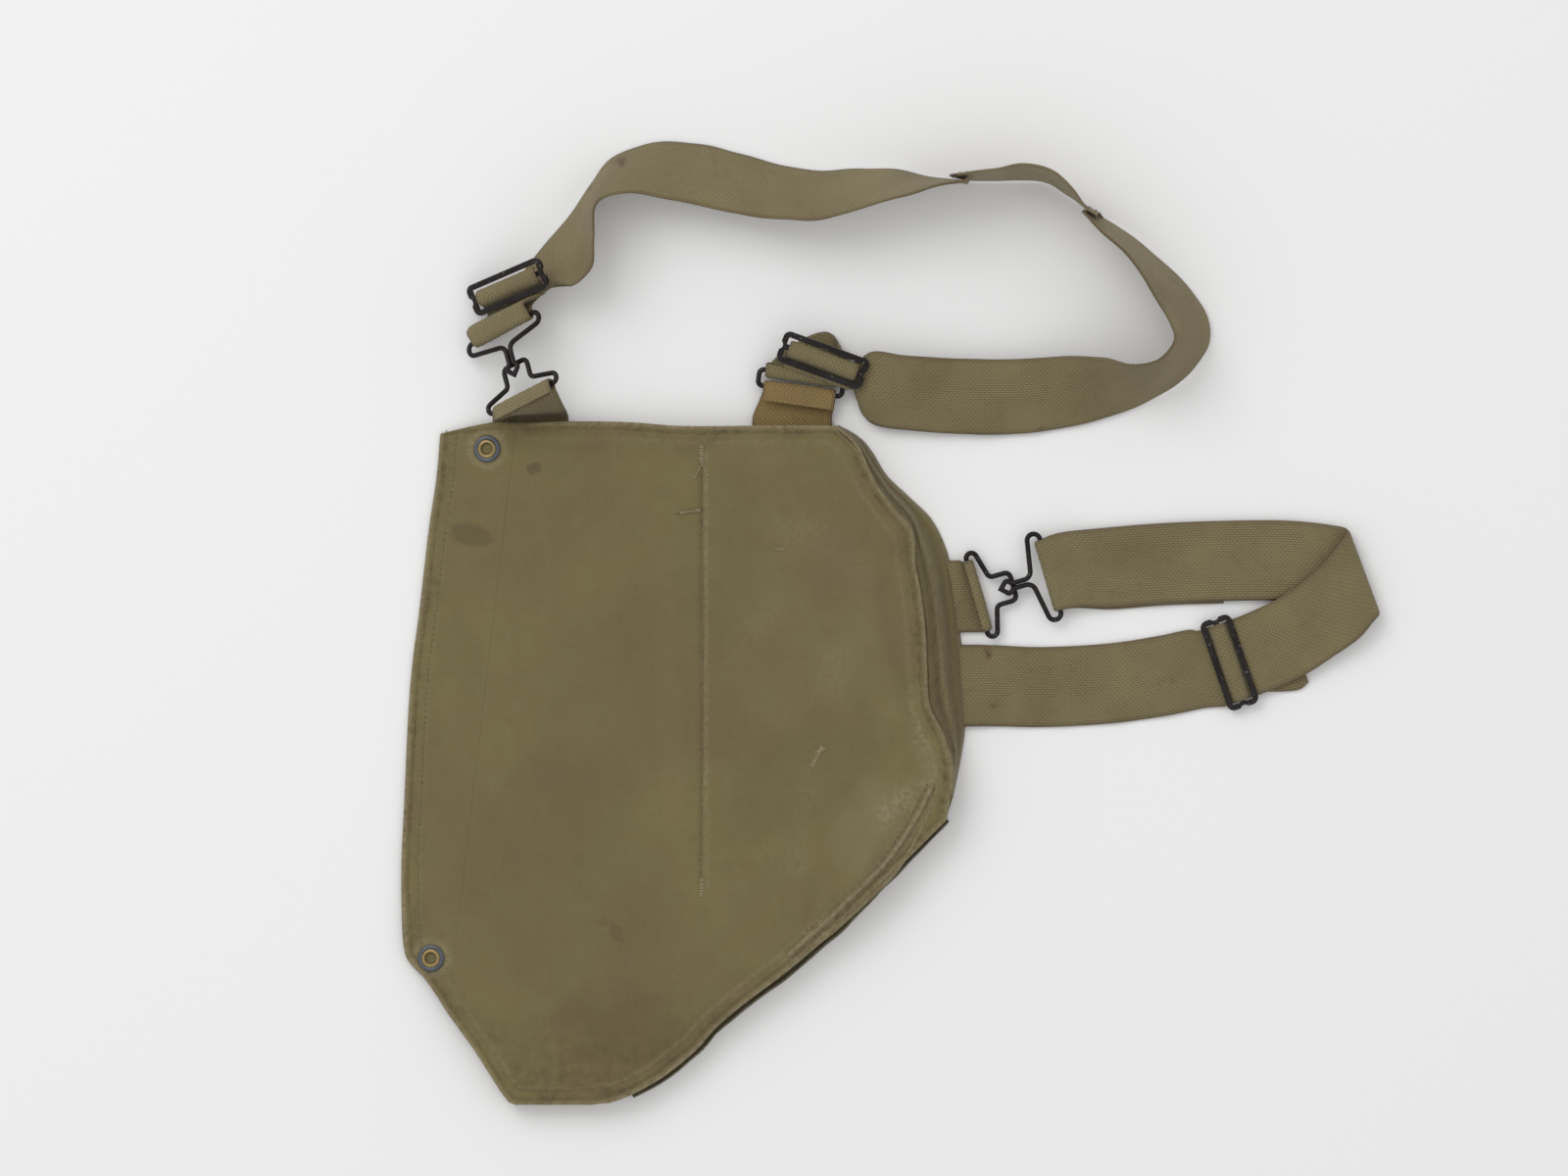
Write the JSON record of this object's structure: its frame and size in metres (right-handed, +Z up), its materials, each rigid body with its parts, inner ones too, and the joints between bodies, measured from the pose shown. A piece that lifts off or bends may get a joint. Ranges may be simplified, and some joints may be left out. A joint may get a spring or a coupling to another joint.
{
  "type": "canvas shoulder carrier",
  "caption": "Flat side-opening canvas carrier with a snapped flap, a webbing shoulder strap with hooks and slides, and a webbing waist strap.",
  "frame": {"origin": "on the underside of the back panel, at the middle of the bag, on the surface that it lies on", "axes": "+Z up, +Y towards the top seam that carries the shoulder strap, +X towards the gusset and the waist strap"},
  "size_m": [0.5418, 0.5335, 0.0435],
  "materials": {
    "canvas": "worn olive cotton canvas",
    "webbing": "ribbed cotton webbing",
    "webbing_tan": "tan cotton webbing",
    "seam_thread": "cotton thread",
    "binding": "dark brown binding",
    "blackened_steel": "blackened steel, worn at the edges",
    "brass": "worn brass"
  },
  "bodies": {
    "bag": {"back_panel": "canvas", "front_panel": "canvas", "side_gusset": "canvas", "top_seam": "canvas", "bottom_seam": "canvas", "edge_binding": "binding", "dog_ear_seam": "canvas", "compartment_divider": "canvas", "bar_tacks": "seam_thread", "mouth_facing": "canvas", "snap_studs": "blackened_steel", "stud_washers": "blackened_steel", "left_anchor": "webbing", "right_anchor": "webbing_tan", "waist_anchors": "webbing"},
    "mouth_fold": {"mouth_fold": "canvas"},
    "flap": {"flap_panel": "canvas", "flap_hem": "canvas", "snap_discs": "blackened_steel", "snap_eyelets": "brass"},
    "shoulder_strap": {"left_tab": "webbing", "left_strap": "webbing", "left_slide": "blackened_steel", "splice_piece": "webbing", "splice_stitches": "seam_thread", "right_strap": "webbing", "right_slide": "blackened_steel", "right_tab": "webbing_tan"},
    "left_eye": {"left_eye_hook": "blackened_steel"},
    "left_arrow": {"left_arrow_hook": "blackened_steel"},
    "ring": {"right_ring": "blackened_steel"},
    "waist_webbing": {"waist_tab": "webbing", "waist_strap": "webbing", "waist_tail": "webbing", "waist_slide": "blackened_steel"},
    "waist_eye": {"waist_eye_hook": "blackened_steel"},
    "waist_arrow": {"waist_arrow_hook": "blackened_steel"}
  },
  "joints": [
    {"name": "mouth_fold_turn", "type": "hinge", "parent": "bag", "child": "mouth_fold", "pos_m": [-0.088, 0.189, 0.0097], "axis": [0.1167, 0.9932, 0], "range_deg": [-79.27, 112]},
    {"name": "flap_turn", "type": "hinge", "parent": "mouth_fold", "child": "flap", "pos_m": [-0.09551, 0.18988, 0.00827], "axis": [0.1167, 0.9932, 0], "range_deg": [-90, 0]},
    {"name": "shoulder_lift", "type": "hinge", "parent": "bag", "child": "shoulder_strap", "pos_m": [0, 0.1912, 0.0027], "axis": [1, 0, 0], "range_deg": [-34, 6]},
    {"name": "waist_lift", "type": "hinge", "parent": "bag", "child": "waist_webbing", "pos_m": [0.154, 0.066, 0.0023], "axis": [0.0761, -0.9971, 0], "range_deg": [0, 80]},
    {"name": "left_eye_turn", "type": "hinge", "parent": "shoulder_strap", "child": "left_eye", "pos_m": [-0.08814, 0.20135, 0.02834], "axis": [0.7923, 0.3893, 0.4698], "range_deg": [0, 12]},
    {"name": "left_arrow_turn", "type": "hinge", "parent": "shoulder_strap", "child": "left_arrow", "pos_m": [-0.10016, 0.24023, 0.0164], "axis": [0.7923, 0.3893, 0.4698], "range_deg": [-12, 0]},
    {"name": "ring_turn", "type": "hinge", "parent": "shoulder_strap", "child": "ring", "pos_m": [0.064, 0.2058, 0.0051], "axis": [0.9903, -0.1392, 0], "range_deg": [0, 4]},
    {"name": "waist_eye_turn", "type": "hinge", "parent": "waist_webbing", "child": "waist_eye", "pos_m": [0.16218, 0.09219, 0.0039], "axis": [0.2756, -0.9613, 0], "range_deg": [0, 12]},
    {"name": "waist_arrow_turn", "type": "hinge", "parent": "waist_webbing", "child": "waist_arrow", "pos_m": [0.20275, 0.10382, 0.00506], "axis": [0.2756, -0.9613, 0], "range_deg": [-12, 0]}
  ],
  "couplings": [
    {"joint": "left_arrow_turn", "follows": "left_eye_turn", "ratio": -1},
    {"joint": "waist_arrow_turn", "follows": "waist_eye_turn", "ratio": -1}
  ]
}
